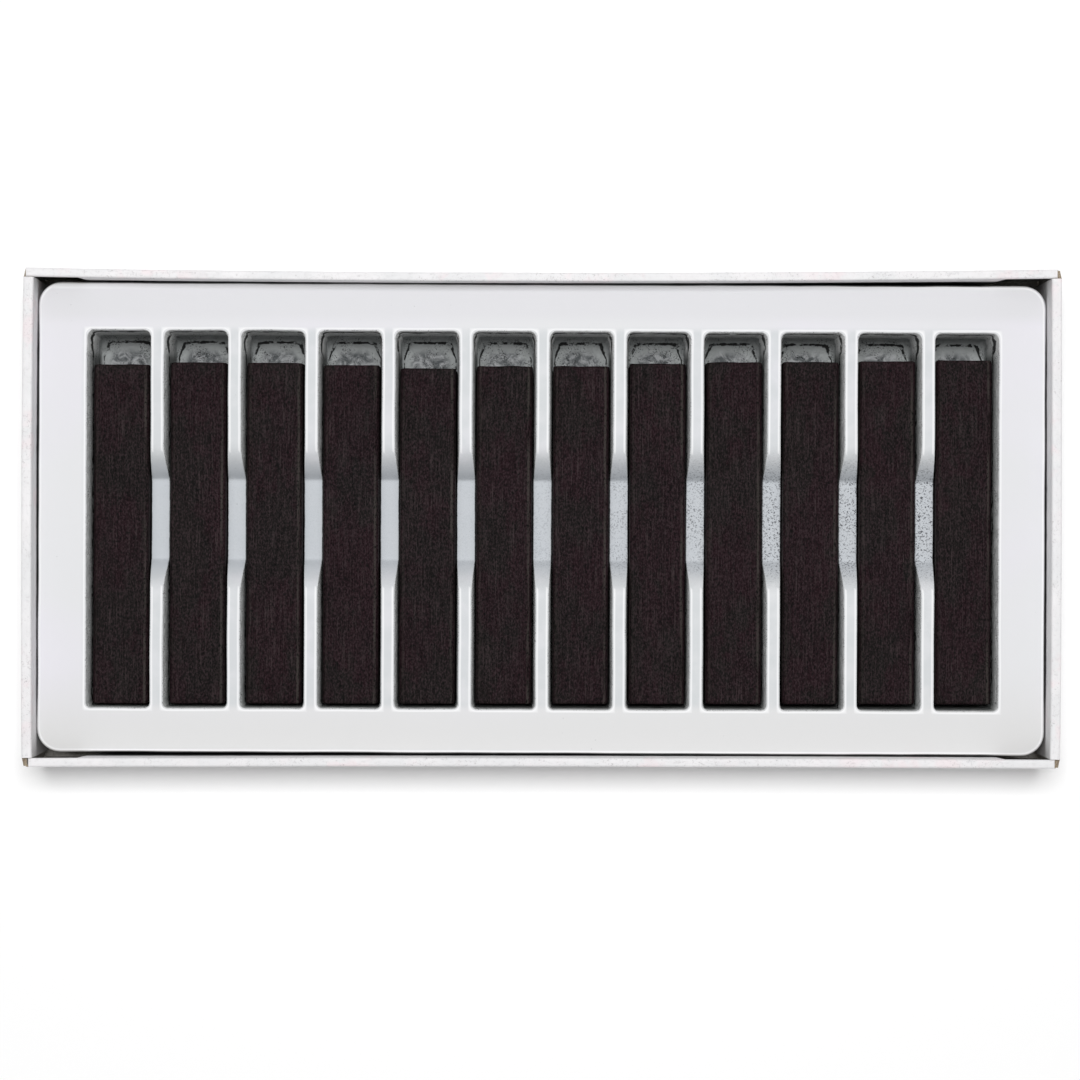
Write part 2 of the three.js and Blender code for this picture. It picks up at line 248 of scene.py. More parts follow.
class Nodes:
    """A material's node tree, with short calls for the nodes used here."""

    def __init__(self, name, specular, roughness=0.5):
        self.material = bpy.data.materials.new(name)
        self.material.use_nodes = True
        self.tree = self.material.node_tree
        self.shader = self.tree.nodes["Principled BSDF"]
        self.shader.inputs["Specular IOR Level"].default_value = specular
        self.shader.inputs["Roughness"].default_value = roughness
        self.place = self.add("ShaderNodeTexCoord").outputs["Object"]

    def add(self, kind, **settings):
        node = self.tree.nodes.new(kind)
        for setting, value in settings.items():
            setattr(node, setting, value)
        return node

    def feed(self, socket, value):
        """Gives a socket a link, a colour or a number."""
        if isinstance(value, bpy.types.NodeSocket):
            self.tree.links.new(value, socket)
        elif isinstance(value, tuple) and len(value) == 3 and socket.type == "RGBA":
            socket.default_value = (*value, 1)
        else:
            socket.default_value = value

    def scaled_place(self, factors):
        node = self.add("ShaderNodeMapping")
        self.feed(node.inputs["Vector"], self.place)
        node.inputs["Scale"].default_value = factors
        return node.outputs["Vector"]

    def noise(self, size, detail, rough=0.55, stretch=(1, 1, 1), warp=0.0):
        """Noise from 0 to 1 whose blotches are about size millimetres across. A share below 1 in stretch
        draws them out along that axis."""
        node = self.add("ShaderNodeTexNoise")
        self.feed(node.inputs["Vector"], self.scaled_place(stretch))
        node.inputs["Scale"].default_value = 1 / (size * METRE)
        node.inputs["Detail"].default_value = detail
        node.inputs["Roughness"].default_value = rough
        node.inputs["Distortion"].default_value = warp
        return node.outputs["Fac"]

    def cells(self, size):
        """Distance from the nearest of scattered spots, which are about size millimetres apart."""
        node = self.add("ShaderNodeTexVoronoi")
        self.feed(node.inputs["Vector"], self.scaled_place((1, 1, 1)))
        node.inputs["Scale"].default_value = 1 / (size * METRE)
        return node.outputs["Distance"]

    def mark(self, name):
        """The value of one of the marks that a mesh carries at its points."""
        return self.add("ShaderNodeAttribute", attribute_name=name).outputs["Fac"]

    def axis(self, name):
        """A coordinate in millimetres."""
        node = self.add("ShaderNodeSeparateXYZ")
        self.feed(node.inputs["Vector"], self.place)
        return self.maths("MULTIPLY", node.outputs[name], 1 / METRE)

    def maths(self, operation, a, b=0.0):
        node = self.add("ShaderNodeMath", operation=operation)
        self.feed(node.inputs[0], a)
        self.feed(node.inputs[1], b)
        return node.outputs[0]

    def times(self, *values):
        total = values[0]
        for value in values[1:]:
            total = self.maths("MULTIPLY", total, value)
        return total

    def most(self, *values):
        total = values[0]
        for value in values[1:]:
            total = self.maths("MAXIMUM", total, value)
        return total

    def ramp(self, value, low, high, start=0.0, end=1.0):
        """start below low, end above high, and a smooth change between them."""
        node = self.add("ShaderNodeMapRange", interpolation_type="SMOOTHSTEP")
        for socket, number in zip(node.inputs[:5], (value, low, high, start, end)):
            self.feed(socket, number)
        return node.outputs[0]

    def size_of(self, value):
        return self.maths("ABSOLUTE", value)

    def wobbling(self, value, size, reach):
        """The value, moved up and down by up to half the reach."""
        wave = self.maths("SUBTRACT", self.noise(size, 4, 0.6), 0.5)
        return self.maths("ADD", value, self.times(wave, reach))

    def band(self, value, middle, width):
        """1 at middle, falling to 0 at width on both sides."""
        away = self.size_of(self.maths("SUBTRACT", value, middle))
        return self.ramp(away, 0.0, width, 1.0, 0.0)

    def mix(self, factor, a, b):
        """Colour a where the factor is 0, and b where it is 1."""
        node = self.add("ShaderNodeMix", data_type="RGBA")
        self.feed(node.inputs["Factor"], factor)
        colour_a, colour_b = (socket for socket in node.inputs if socket.type == "RGBA")
        self.feed(colour_a, a)
        self.feed(colour_b, b)
        return next(socket for socket in node.outputs if socket.type == "RGBA")

    def away_from_corners(self, share):
        """1 along the carton's walls, falling to that share in its four corners, past a wavy limit."""
        outwards = self.maths("ADD", self.size_of(self.axis("X")), self.size_of(self.axis("Y")))
        return self.ramp(self.wobbling(outwards, 7.0, 14.0), 148.0, 159.0, 1.0, share)

    def finish(self, colour, rough=None, heights=()):
        """Joins colour, roughness and bumps, each a height from 0 to 1 and its depth in millimetres."""
        self.feed(self.shader.inputs["Base Color"], colour)
        if rough is not None:
            self.feed(self.shader.inputs["Roughness"], rough)
        normal = None
        for height, depth in heights:
            bump = self.add("ShaderNodeBump")
            bump.inputs["Strength"].default_value = 1.0
            bump.inputs["Distance"].default_value = depth * METRE
            self.feed(bump.inputs["Height"], height)
            if normal is not None:
                self.feed(bump.inputs["Normal"], normal)
            normal = bump.outputs["Normal"]
        if normal is not None:
            self.feed(self.shader.inputs["Normal"], normal)
        return self.material


def coated_board():
    """White clay coating over board: faint mottling, charcoal smudges and cracks along the top folds, and
    painted shade low on the inner panels, which face the gap beside the tray.
    """
    n = Nodes("coated_board", specular=0.3)
    height = n.axis("Z")
    inside = n.mark("inside")
    paper = n.mix(n.ramp(n.noise(9.0, 4), 0.35, 0.7), (0.80, 0.80, 0.81), (0.86, 0.845, 0.855))
    pink = n.times(n.ramp(n.noise(7.0, 3), 0.5, 0.66), n.ramp(n.noise(30.0, 2), 0.42, 0.6))
    paper = n.mix(n.times(pink, 0.7), paper, (0.87, 0.77, 0.79))
    folds = n.band(height, CARTON_HEIGHT - 0.3, 0.8)
    crack = n.ramp(n.noise(0.55, 5, 0.75, warp=1.2), 0.55, 0.66)
    worn = n.ramp(n.noise(12.0, 3), 0.4, 0.6, 0.25, 1.0)
    specks = n.times(n.ramp(n.cells(1.9), 0.13, 0.04), n.ramp(n.noise(14.0, 3), 0.46, 0.62))
    dirt = n.most(n.times(crack, folds, worn, 0.6), n.times(specks, 0.3))
    colour = n.mix(dirt, paper, (0.25, 0.23, 0.23))
    # Painted shade: the inner panels go near black below about the tray's top, where they face the gap
    # beside the tray, and less so in the corners.
    shade = n.maths("ADD", height, n.times(n.noise(3.0, 4), 2.5))
    painted_gap_shade = n.times(inside, n.ramp(shade, 20.0, 17.5), n.away_from_corners(0.25))
    colour = n.mix(painted_gap_shade, colour, (0.10, 0.10, 0.105))
    rough = n.ramp(n.noise(2.2, 3), 0.3, 0.7, 0.42, 0.58)
    return n.finish(colour, rough, [(n.noise(0.5, 4, 0.6), 0.02), (crack, -0.03)])


def board_core():
    """The cut edge of grey-brown board."""
    n = Nodes("board_core", specular=0.15, roughness=0.9)
    fibres = n.noise(0.25, 4, 0.65)
    layers = n.noise(0.12, 2, stretch=(1, 1, 0.2))
    colour = n.mix(n.ramp(fibres, 0.3, 0.7), (0.20, 0.15, 0.10), (0.47, 0.40, 0.31))
    return n.finish(colour, None, [(fibres, 0.06), (layers, 0.03)])


def board_reverse():
    """The uncoated grey side of the board."""
    n = Nodes("board_reverse", specular=0.15, roughness=0.92)
    fibres = n.noise(0.6, 5, 0.7)
    flecks = n.ramp(n.cells(1.1), 0.12, 0.04)
    colour = n.mix(n.ramp(fibres, 0.3, 0.7), (0.46, 0.44, 0.41), (0.60, 0.58, 0.55))
    colour = n.mix(n.times(flecks, 0.5), colour, (0.25, 0.22, 0.2))
    return n.finish(colour, None, [(fibres, 0.04)])


def plastic_and_painted_highlights(n, east, north):
    """White plastic, greyer towards its front and back and on the ribs, with a painted highlight along the
    edges of its top and its pockets, and a wider one along its back edge.
    """
    pocket_end = POCKET_LENGTH / 2
    ribs_end = 102.0
    back_edge = TRAY_WIDTH / 2
    plastic = n.mix(n.ramp(n.noise(40.0, 2), 0.35, 0.65), (0.765, 0.755, 0.80), (0.75, 0.755, 0.77))
    plastic = n.mix(n.ramp(north, -30.0, -50.0), plastic, (0.715, 0.715, 0.715))
    plastic = n.mix(n.ramp(north, pocket_end, pocket_end + 3.5), plastic, (0.722, 0.722, 0.745))
    rib = n.ramp(n.size_of(north), pocket_end + 0.5, pocket_end - 1.5)
    rib = n.times(rib, n.ramp(n.size_of(east), ribs_end + 1, ribs_end - 1))
    rib = n.times(rib, n.ramp(n.noise(6.0, 3), 0.3, 0.6, 0.35, 0.75))
    plastic = n.mix(rib, plastic, (0.605, 0.632, 0.645))
    # Painted highlight: bright white along the pockets' rims and the edge of the tray's top, and in a band
    # along the back edge that lifts the shadow of the carton's back wall.
    edges = n.most(n.mark("rim"), n.ramp(north, back_edge - 1.65, back_edge - 0.25))
    return n.mix(edges, plastic, (0.93, 0.93, 0.94))


def channel_dust_and_painted_shade(n, plastic, channel, north):
    """The plastic with a haze of dust in the finger channel, and painted shade on its slopes."""
    haze = n.times(n.ramp(channel, 0.05, 0.9), n.ramp(n.noise(5.0, 3), 0.3, 0.7, 0.85, 1.0))
    colour = n.mix(haze, plastic, (0.57, 0.60, 0.635))
    # Painted shade on the slopes, deepest just above the channel's floor and stronger on the north slope,
    # which faces away from the key.
    slope = n.times(n.ramp(channel, 0.25, 0.93), n.ramp(channel, 1.0, 0.95))
    colour = n.mix(n.times(slope, n.ramp(north, -12.0, 10.0, 0.12, 0.32)), colour, (0.27, 0.29, 0.31))
    bands = n.times(n.noise(1.1, 3, stretch=(1, 0.06, 1)), channel)
    return n.mix(n.ramp(bands, 0.5, 0.7, 0.0, 0.3), colour, (0.62, 0.65, 0.67))


def pocket_dust_and_painted_light(n, height, level, free_end, smudge):
    """Smudged dust in a pocket, and painted light: black low down beside the stick and worn on the floor;
    the walls higher up and at the free end, and the floor next to the walls, are painted lighter to lift
    the shade."""
    # Grey dust low on the walls; higher up they are painted lighter than the plastic, painted light that
    # lifts the shade in the narrow gap beside the stick.
    dust = n.mix(n.ramp(level, 10.5, 12.5), (0.60, 0.62, 0.62), (0.86, 0.875, 0.875))
    dust = n.mix(n.times(smudge, 0.4), dust, (0.33, 0.35, 0.35))
    beside = n.times(n.ramp(level, 17.2, 12.2), n.ramp(free_end, 0.0, 1.0, 0.75, 0.0))
    dust = n.mix(beside, dust, (0.15, 0.16, 0.155))
    # Painted light: at the free end the walls are painted near white, lighter than the plastic, to lift the
    # shade on the wall that faces away from the key.
    dust = n.mix(n.times(free_end, n.ramp(height, 4.0, 7.0), 0.9), dust, (0.95, 0.96, 0.955))
    # Painted light: next to the floor, the walls and the floor's edge are lighter than the floor's middle,
    # lifting the shade at the walls' foot. The middle of the floor, which the key lights, is darker, with
    # worn smudges.
    dust = n.mix(n.ramp(height, 2.6, 1.3), dust, (0.44, 0.46, 0.46))
    worn = n.mix(smudge, (0.09, 0.098, 0.102), (0.43, 0.44, 0.45))
    return n.mix(n.ramp(n.mark("middle"), 0.1, 0.8), dust, worn)


def pocket_grime(n, height, level, free_end, pocket):
    """How black a pocket's walls are with two broken lines along them, one round their foot, and grains."""
    line_height = n.ramp(free_end, 0.0, 1.0, 11.6, 13.4)
    line = n.band(level, line_height, n.ramp(free_end, 0.0, 1.0, 0.6, 1.8))
    line = n.times(pocket, n.ramp(line, 0.1, 0.5), n.ramp(n.noise(2.4, 4, 0.6), 0.34, 0.42))
    second = n.ramp(n.band(n.wobbling(height, 2.1, 4.0), 4.5, 0.6), 0.1, 0.5)
    second = n.times(second, n.ramp(n.noise(3.0, 3), 0.45, 0.52), n.ramp(free_end, 0.0, 1.0, 0.85, 0.2))
    foot = n.ramp(n.wobbling(n.mark("foot"), 1.2, 1.2), 0.5, 0.72)
    foot = n.times(foot, n.ramp(n.noise(1.9, 3), 0.38, 0.48), n.ramp(height, 4.0, 3.0))
    grains = n.ramp(n.noise(0.3, 3, 0.7), 0.55, 0.6)
    grains = n.times(pocket, grains, n.ramp(n.noise(3.2, 3), 0.45, 0.56))
    return n.most(n.times(line, 0.95), n.times(pocket, second), n.times(foot, 0.95), n.times(grains, 0.9))


def loose_specks(n, channel, east):
    """Specks of charcoal: many in the channel towards the right-hand end, and a few strays anywhere."""
    scatter = n.ramp(n.noise(0.42, 3, 0.8), 0.535, 0.59)
    clouds = n.ramp(n.noise(6.0, 3), 0.3, 0.5, 0.2, 1.0)
    spill = n.times(channel, scatter, clouds, n.ramp(east, -30.0, 70.0, 0.05, 0.95))
    stray = n.times(n.ramp(n.cells(2.4), 0.07, 0.03), n.ramp(n.noise(18.0, 2), 0.5, 0.7), 0.35)
    return n.most(spill, stray)


def tray_plastic():
    """White plastic, grey with charcoal dust inside the pockets and dusted in the finger channel, with
    painted light in the pockets, painted shade in the channel and on the skirt, and painted highlights
    along its edges.
    """
    n = Nodes("tray_plastic", specular=0.12)
    east = n.axis("X")
    north = n.axis("Y")
    height = n.axis("Z")
    pocket = n.mark("pocket")
    channel = n.mark("channel")
    level = n.wobbling(height, 3.2, 5.0)
    free_end = n.ramp(north, FREE_END - 1.1, FREE_END + 2.4)
    smudge = n.ramp(n.noise(2.2, 5, 0.7, warp=0.8), 0.36, 0.64)

    colour = channel_dust_and_painted_shade(n, plastic_and_painted_highlights(n, east, north), channel, north)
    colour = n.mix(pocket, colour, pocket_dust_and_painted_light(n, height, level, free_end, smudge))
    colour = n.mix(pocket_grime(n, height, level, free_end, pocket), colour, (0.008, 0.008, 0.008))
    # Painted shade: the skirt is near black and mottled, so that the gap between the tray and the carton's
    # walls looks dark, less so in the corners.
    painted_gap_shade = n.ramp(n.noise(8.0, 5, 0.65, stretch=(1, 1, 0.4), warp=0.4), 0.3, 0.68, 0.81, 0.95)
    colour = n.mix(n.times(n.mark("skirt"), n.away_from_corners(0.3), painted_gap_shade), colour, (0.06, 0.06, 0.06))
    colour = n.mix(loose_specks(n, channel, east), colour, (0.06, 0.06, 0.07))
    rough = n.ramp(n.maths("ADD", pocket, n.times(n.noise(6.0, 3), 0.3)), 0.1, 1.1, 0.46, 0.75)
    return n.finish(colour, rough, [(n.noise(5.0, 2), 0.04), (n.times(pocket, smudge), 0.15)])


def charcoal():
    """Pressed charcoal, drawn out lengthwise, with streaks painted lighter as a sheen, fine grain, and a
    painted highlight along the ridges near its edges.
    """
    n = Nodes("charcoal", specular=0.12)
    streaks = n.noise(0.3, 3, 0.7, stretch=(1, 0.035, 1))
    broad = n.noise(2.2, 4, 0.6, stretch=(1, 0.3, 1))
    grain = n.noise(0.33, 3, 0.75, stretch=(1, 0.55, 1))
    patches = n.noise(11.0, 6, 0.7, stretch=(1, 0.6, 1))
    tint = n.mix(n.ramp(patches, 0.44, 0.56), (0.0135, 0.0041, 0.0065), (0.0086, 0.0064, 0.0061))
    dark = n.ramp(n.noise(6.0, 4, 0.6, stretch=(1, 0.4, 1)), 0.35, 0.65)
    tint = n.mix(n.times(dark, 0.4), tint, (0.0042, 0.0032, 0.0034))
    # Painted sheen: the streaks along the stick are painted lighter, besides their bumps and lower
    # roughness.
    painted_streak_sheen = n.times(n.ramp(streaks, 0.5, 0.68), n.ramp(broad, 0.38, 0.62, 0.1, 1.0))
    # Painted highlight: lighter lines along the ridges near the stick's edges, broken up by noise.
    edge = n.times(n.mark("ridge"), n.ramp(n.noise(1.5, 4, 0.6, stretch=(1, 0.1, 1)), 0.35, 0.6))
    colour = n.mix(n.times(painted_streak_sheen, 0.8), tint, (0.038, 0.0255, 0.0265))
    colour = n.mix(n.times(edge, 0.7), colour, (0.060, 0.054, 0.048))
    colour = n.mix(n.times(n.ramp(grain, 0.5, 0.62), 0.6), colour, (0.041, 0.0255, 0.0295))
    colour = n.mix(n.ramp(grain, 0.485, 0.36), colour, (0.001, 0.001, 0.001))
    rough = n.ramp(streaks, 0.3, 0.75, 0.85, 0.6)
    return n.finish(colour, rough, [(streaks, 0.05), (grain, 0.03)])


def studio_floor():
    n = Nodes("studio_floor", specular=0.0, roughness=0.95)
    n.shader.inputs["Base Color"].default_value = (0.98, 0.98, 0.98, 1)
    n.shader.inputs["Emission Color"].default_value = (1, 1, 1, 1)
    n.shader.inputs["Emission Strength"].default_value = 0.02
    return n.material


# Carton

def run(start, end, normal, stations, kind):
    """Points of a straight part of a section, at the given shares of the way, with their outward normal."""
    return [
        (start[0] + (end[0] - start[0]) * t, start[1] + (end[1] - start[1]) * t, *normal, kind)
        for t in stations
    ]


def bend(centre, radius, first, last, kind):
    """Points round a fold, from angle first to angle last in degrees."""
    steps = 5
    points = []
    for step in range(steps + 1):
        angle = math.radians(first + (last - first) * step / steps)
        normal = (math.cos(angle), math.sin(angle))
        points.append((centre[0] + radius * normal[0], centre[1] + radius * normal[1], *normal, kind))
    return points


def even(count):
    """Shares of the way along a run, without either end."""
    return [(i + 1) / (count + 1) for i in range(count)]


def wall_section(half, thickness, lean, tail):
    """A double wall's outer face, from the floor out to half and up, over the top and down the inner side.
    Each entry is distance out, height, normal, and the kind of the strip that leads on from it."""
    top = CARTON_HEIGHT - TOP_FOLD
    low = FOOT_FOLD + 0.05
    outer = half - TOP_FOLD
    face = half - thickness
    inner = face - lean + TOP_FOLD
    flap_share = (FLAP_TOP - low) / (top - low)
    points = run((tail, 0), (half - FOOT_FOLD, 0), (0, -1), [0, *even(8)], "floor")
    points += bend((half - FOOT_FOLD, FOOT_FOLD), FOOT_FOLD, -90, 0, "foot")
    shares = [0, 0.08, 0.2, 0.35, 0.5, 0.65, 0.8, (END_PANEL_TOP - low) / (top - low)]
    points += run((half, low), (half, top), (1, 0), shares, "outer")
    points += run((half, low), (half, top), (1, 0), [flap_share], "top")
    points += bend((outer, top), TOP_FOLD, 0, 90, "top")
    points += run((outer, CARTON_HEIGHT), (inner, CARTON_HEIGHT), (0, 1), even(2), "top")
    points += bend((inner, top), TOP_FOLD, 90, 180, "top")
    points[-1] = (*points[-1][:4], "inner")
    points += run((face - lean, top), (face, PANEL_FOOT), (-1, 0), [*even(7), 1], "inner")
    return points


def settle(points):
    """Leans and waves the carton's walls a little, more towards their tops, and always inwards."""
    x, y, z = points[..., 0], points[..., 1], points[..., 2]
    rise = np.clip(z / CARTON_HEIGHT, 0, 1)
    blend = 8.0
    by_long = smooth((np.abs(y) - 44) / blend)
    by_end = smooth((np.abs(x) - 104) / blend)
    side_wave = 0.5 + 0.5 * ripple(3, 38)(x, np.sign(y) * 400 + z)
    end_wave = 0.5 + 0.5 * ripple(4, 30)(y, np.sign(x) * 400 + z)
    bow = np.where(y > 0, BACK_BOW, FRONT_BOW)
    back_lean = np.where(x < 0, BACK_LEFT_LEAN, BACK_RIGHT_LEAN)
    front_lean = np.where(x < 0, FRONT_LEFT_LEAN, FRONT_RIGHT_LEAN)
    lean_y = bow * (1 - (x / HALF_LENGTH) ** 2) + WALL_WAVE * side_wave
    lean_x = np.where(y > 0, back_lean, front_lean) * (y / HALF_WIDTH) ** 2 + WALL_WAVE * end_wave
    sag = TOP_SAG * (1 + ripple(5, 22)(x, y)) * np.maximum(by_long, by_end)
    moved = points.copy()
    moved[..., 0] -= np.sign(x) * by_end * rise * lean_x
    moved[..., 1] -= np.sign(y) * by_long * rise * lean_y
    moved[..., 2] -= rise ** 3 * sag
    return moved


def inside_mark(rows, columns):
    """A mark of 1 on a sheet's rows that face into the carton."""
    marked = np.repeat(rows[:, None], columns, 1).astype(float)
    return np.stack([marked, marked])


def blank_section():
    """The main blank's section, from one wall's inner panel round to the other's, and the kind of each
    strip between its points."""
    half_section = wall_section(HALF_WIDTH, LONG_WALL, 0.0, 0.0)
    section = [(-y, z, -ny, nz) for y, z, ny, nz, _ in reversed(half_section)]
    section += [(y, z, ny, nz) for y, z, ny, nz, _ in half_section[1:]]
    kinds = [kind for *_, kind in half_section[:-1]]
    return np.array(section), kinds[::-1] + kinds


def blank_stations():
    """The blank's columns from its middle to one end: places along it, angles round the corner's fold,
    and then distances of the flap's columns from the carton's middle line."""
    straight = [0, *np.arange(3.5, 99, 3.5), 99.5, INNER_PANEL_END, 104, 106.5, 109, 110.5]
    straight += [FLOOR_END, 112.4, 113, CORNER_FOLD_X]
    angles = np.radians([15, 30, 45, 60, 75, 90])
    flap = HALF_WIDTH - FOOT_FOLD - np.array([1.5, 4, 8, 13, 19, 26, 32, FLAP_LENGTH - FOOT_FOLD])
    return straight, angles, flap


def on_inner_panel(section):
    """Which points of the blank's section are on the inner panels of its walls."""
    y, _, ny, _ = section.T
    return np.isclose(np.abs(ny), 1) & (np.abs(y) < HALF_WIDTH - 1)


def blank_half(section, back_stop, front_stop):
    """Points and outward normals of the columns from the middle to one end of the blank, where the tops
    of the back and front walls stop short of the corners by those lengths."""
    straight, angles, flap = blank_stations()
    y, z, ny, nz = section.T
    side = np.sign(y)
    nothing = 0 * y
    slant = np.clip((z - PANEL_FOOT) / (CARTON_HEIGHT - TOP_FOLD - PANEL_FOOT), 0, 1)
    narrowed = 1 - (1 - slant) * INNER_PANEL_SLANT / INNER_PANEL_END
    squeeze = np.where(on_inner_panel(section), narrowed, 1)
    sheared = 1.2
    raised = np.clip((z - (CARTON_HEIGHT - sheared)) / sheared, 0, 1)
    stop = np.where(side > 0, back_stop, front_stop)
    fold_end = HALF_LENGTH - stop - FOLD_SHEAR * raised
    over_flap = z > FLAP_TOP + 0.01

    points, normals = [], []
    for x in straight:
        reach = (x - FLOOR_END) / (CORNER_FOLD_X - FLOOR_END)
        stretched = FLOOR_END + (fold_end - FLOOR_END) * reach
        across = np.where(over_flap & (x > FLOOR_END), stretched, x * squeeze)
        points.append(np.stack([across, y, z], -1))
        normals.append(np.stack([nothing, ny, nz], -1))
    for angle in angles:
        fold_x = CORNER_FOLD_X + FOOT_FOLD * math.sin(angle)
        fold_y = HALF_WIDTH - FOOT_FOLD + FOOT_FOLD * math.cos(angle)
        points.append(np.stack([fold_x + nothing, side * fold_y, z], -1))
        normals.append(np.stack([math.sin(angle) + nothing, side * math.cos(angle), nothing], -1))
    for distance in flap:
        points.append(np.stack([CORNER_FOLD_X + FOOT_FOLD + nothing, side * distance, z], -1))
        normals.append(np.stack([1 + nothing, nothing, nothing], -1))
    return np.stack(points, 1), np.stack(normals, 1)


def both_ways(left, right):
    """One grid from its two halves, with the left half mirrored."""
    return np.concatenate([left[:, :0:-1] * np.array([-1, 1, 1]), right], 1)


def carton_blank(materials):
    """Floor, both long walls and the four corner flaps: one sheet with its columns along X."""
    section, kinds = blank_section()
    left, left_normals = blank_half(section, BACK_LEFT_STOP, FRONT_LEFT_STOP)
    right, right_normals = blank_half(section, BACK_RIGHT_STOP, FRONT_RIGHT_STOP)
    outer = both_ways(left, right)
    inner = both_ways(left - left_normals * BOARD, right - right_normals * BOARD)

    straight, _, _ = blank_stations()
    cells = right.shape[1] - 1
    last_cell = {
        "inner": straight.index(INNER_PANEL_END),
        "floor": straight.index(FLOOR_END),
        "foot": len(straight) - 1,
        "top": len(straight) - 1,
        "outer": cells,
    }
    cell = np.abs(np.arange(-cells, cells) + 0.5) + 0.5
    limit = np.array([last_cell[kind] for kind in kinds])
    present = cell[None, :] <= limit[:, None]
    marks = {"inside": inside_mark(on_inner_panel(section), outer.shape[1])}
    return sheet("carton_blank", settle(outer), settle(inner), present, materials, marks)


def carton_end(name, side, materials):
    """An end wall on side -1 or 1: outer panel, folded top and inner panel, with a strip that goes on
    from the floor's end."""
    section = wall_section(HALF_LENGTH, END_WALL, END_WALL_LEAN, FLOOR_END + BOARD_GAP)
    kinds = [kind for *_, kind in section]
    x, z, nx, nz = np.array([entry[:4] for entry in section]).T
    long_inner = HALF_WIDTH - LONG_WALL - BOARD_GAP
    widest = HALF_WIDTH - BOARD_GAP
    narrow = np.interp(z, [END_PANEL_TOP, CARTON_HEIGHT - 0.9], [widest, long_inner])
    tail = np.interp(z, [0, FOOT_FOLD], [HALF_WIDTH - FOOT_FOLD - BOARD_GAP, widest])
    reach = np.where(np.array([kind in ("floor", "foot") for kind in kinds]), tail, narrow)
    reach = np.where((x < HALF_LENGTH - TOP_FOLD) & (z > 1), long_inner, reach)
    reach[kinds.index("inner"):] = long_inner
    angles = np.linspace(-1, 1, 43) * math.pi / 2 * 0.9
    shares = np.sin(angles) / math.sin(angles[-1])
    y = reach[:, None] * shares[None, :]
    outer = np.stack(np.broadcast_arrays(x[:, None], y, z[:, None]), -1).astype(float)
    normals = np.stack(np.broadcast_arrays(nx[:, None], 0 * y, nz[:, None]), -1)
    inner = outer - normals * BOARD
    present = np.ones((len(x) - 1, len(shares) - 1), bool)
    mirror = np.array([side, 1, 1])
    marks = {"inside": inside_mark(np.arange(len(x)) >= kinds.index("inner"), len(shares))}
    return sheet(name, settle(outer * mirror), settle(inner * mirror), present, materials, marks)


# Tray

def skewed(points):
    """Points turned by the small angle at which the tray lies in the carton."""
    turn = np.array([
        [math.cos(SKEW), math.sin(SKEW), 0],
        [-math.sin(SKEW), math.cos(SKEW), 0],
        [0, 0, 1],
    ])
    return points @ turn


def side_inset(z):
    """How far a pocket's long sides are inside its rim at a height."""
    heights = [POCKET_FLOOR, TRAY_HEIGHT - CHANNEL_DEPTH, TRAY_HEIGHT - POCKET_RIM]
    return POCKET_RIM + np.interp(z, heights, [SIDE_DRAFT, SIDE_DRAFT_AT_CHANNEL, 0])


def end_inset(z):
    """How far a pocket's ends are inside its rim at a height."""
    return POCKET_RIM + np.interp(z, [POCKET_FLOOR, TRAY_HEIGHT - POCKET_RIM], [END_DRAFT, 0])


def pocket_fillet(along):
    """Radius at the foot of a pocket's walls, larger past the end of the stick."""
    return POCKET_FILLET + (FREE_END_FILLET - POCKET_FILLET) * smooth((along - FREE_END) / 3.5)


def pocket_levels(lowered, fillet, wall):
    """Inset and height of each level of a pocket's wall, from its rim down to its floor, where the
    tray's top is lowered by that much."""
    rim = POCKET_RIM - (POCKET_RIM - CHANNEL_RIM) * smooth(lowered / 2)
    top = TRAY_HEIGHT - lowered - rim
    foot = POCKET_FLOOR + fillet

    levels = []
    for angle in np.linspace(0, math.pi / 2, 5):
        levels.append((wall(top) - rim + rim * math.sin(angle), top + rim * math.cos(angle)))
    for share in (0.2, 0.4, 0.7):
        z = top + (foot - top) * share
        levels.append((wall(z), z))
    for angle in np.linspace(0, math.pi / 2, 5):
        levels.append((wall(foot) + fillet * (1 - math.cos(angle)), foot - fillet * math.sin(angle)))
    levels = [np.broadcast_arrays(inset, z, lowered + fillet)[:2] for inset, z in levels]
    return np.array([inset for inset, _ in levels]), np.array([z for _, z in levels])


def skirt_levels():
    """Inset and height of the tray's outside, from its foot up to the edge of its flat top."""
    straight = TRAY_HEIGHT - TRAY_EDGE
    levels = [(-TRAY_FLARE * (1 - share), straight * share) for share in (0, 0.3, 0.65, 1)]
    for angle in np.linspace(0, math.pi / 2, 6)[1:]:
        levels.append((TRAY_EDGE * (1 - math.cos(angle)), straight + TRAY_EDGE * math.sin(angle)))
    return levels


def round_corner(a, b, radius):
    """Points at distances a and b from the two sides of a square corner, moved onto rounded lines."""
    near, far = np.minimum(a, b), np.maximum(a, b)
    r = np.maximum(radius(near), 1e-6)
    angle = (1 - np.clip((far - near) / r, 0, 1)) * math.pi / 4
    curved = far - near < r
    new_far = np.where(curved, near + r * (1 - np.sin(angle)), far)
    new_near = np.where(curved, near + r * (1 - np.cos(angle)), near)
    swapped = a > b
    return np.where(swapped, new_far, new_near), np.where(swapped, new_near, new_far)


